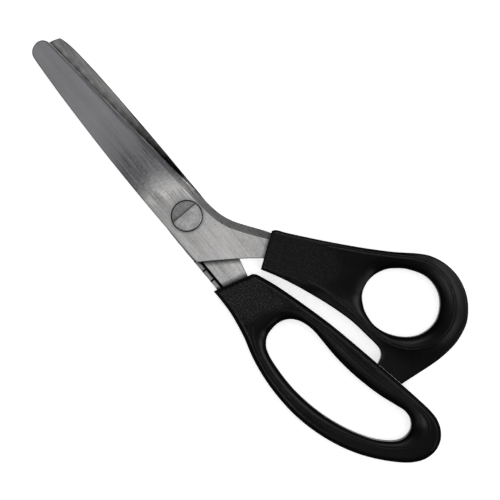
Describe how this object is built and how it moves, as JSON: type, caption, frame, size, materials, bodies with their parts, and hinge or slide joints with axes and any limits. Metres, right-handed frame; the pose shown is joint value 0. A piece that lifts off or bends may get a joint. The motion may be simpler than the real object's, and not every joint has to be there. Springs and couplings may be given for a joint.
{
  "type": "pinking shears",
  "caption": "Bent-handle pinking shears with zigzag tooth rows along both blades, offset moulded handles and an adjustable pivot screw.",
  "frame": {"origin": "on the pivot axis, at the centre of the screw's back end face, in the plane the handles rest on", "axes": "+X towards the blade tips, +Z along the pivot axis towards the screw head, +Y towards the front blade's spine"},
  "size_m": [0.2346, 0.0887, 0.0128],
  "materials": {
    "blade_steel": "brushed along the blade",
    "tooth_steel": "ground",
    "pivot_steel": "turned and blasted",
    "washer_bronze": "satin",
    "handle_plastic": "satin moulded, fine texture"
  },
  "bodies": {
    "rear_half": {"rear_blade": "blade_steel", "finger_handle": "handle_plastic", "rear_tooth_01": "tooth_steel", "rear_tooth_02": "tooth_steel", "rear_tooth_03": "tooth_steel", "rear_tooth_04": "tooth_steel", "rear_tooth_05": "tooth_steel", "rear_tooth_06": "tooth_steel", "rear_tooth_07": "tooth_steel", "rear_tooth_08": "tooth_steel", "rear_tooth_09": "tooth_steel", "rear_tooth_10": "tooth_steel", "rear_tooth_11": "tooth_steel", "rear_tooth_12": "tooth_steel", "rear_tooth_13": "tooth_steel", "rear_tooth_14": "tooth_steel", "rear_spacer_01": "tooth_steel", "rear_spacer_02": "tooth_steel", "rear_spacer_03": "tooth_steel", "rear_spacer_04": "tooth_steel", "rear_spacer_05": "tooth_steel", "rear_spacer_06": "tooth_steel", "rear_spacer_07": "tooth_steel", "rear_spacer_08": "tooth_steel", "rear_spacer_09": "tooth_steel", "slide_washer": "washer_bronze", "spring_washer": "pivot_steel"},
    "front_half": {"front_blade": "blade_steel", "thumb_handle": "handle_plastic", "front_tooth_01": "tooth_steel", "front_tooth_02": "tooth_steel", "front_tooth_03": "tooth_steel", "front_tooth_04": "tooth_steel", "front_tooth_05": "tooth_steel", "front_tooth_06": "tooth_steel", "front_tooth_07": "tooth_steel", "front_tooth_08": "tooth_steel", "front_tooth_09": "tooth_steel", "front_tooth_10": "tooth_steel", "front_tooth_11": "tooth_steel", "front_tooth_12": "tooth_steel", "front_tooth_13": "tooth_steel", "front_tooth_14": "tooth_steel", "front_spacer_01": "tooth_steel"},
    "screw": {"pivot_screw": "pivot_steel"},
    "nut": {"pivot_nut": "pivot_steel"}
  },
  "joints": [
    {"name": "blade_pivot", "type": "hinge", "parent": "rear_half", "child": "front_half", "pos_m": [0, 0, 0], "axis": [0, 0, 1], "range_deg": [0, 120]},
    {"name": "screw_turn", "type": "hinge", "parent": "rear_half", "child": "screw", "pos_m": [0, 0, 0], "axis": [0, 0, 1], "range_deg": [-45, 45]},
    {"name": "nut_turn", "type": "hinge", "parent": "rear_half", "child": "nut", "pos_m": [0, 0, 0], "axis": [0, 0, 1], "range_deg": [-180, 180]}
  ]
}
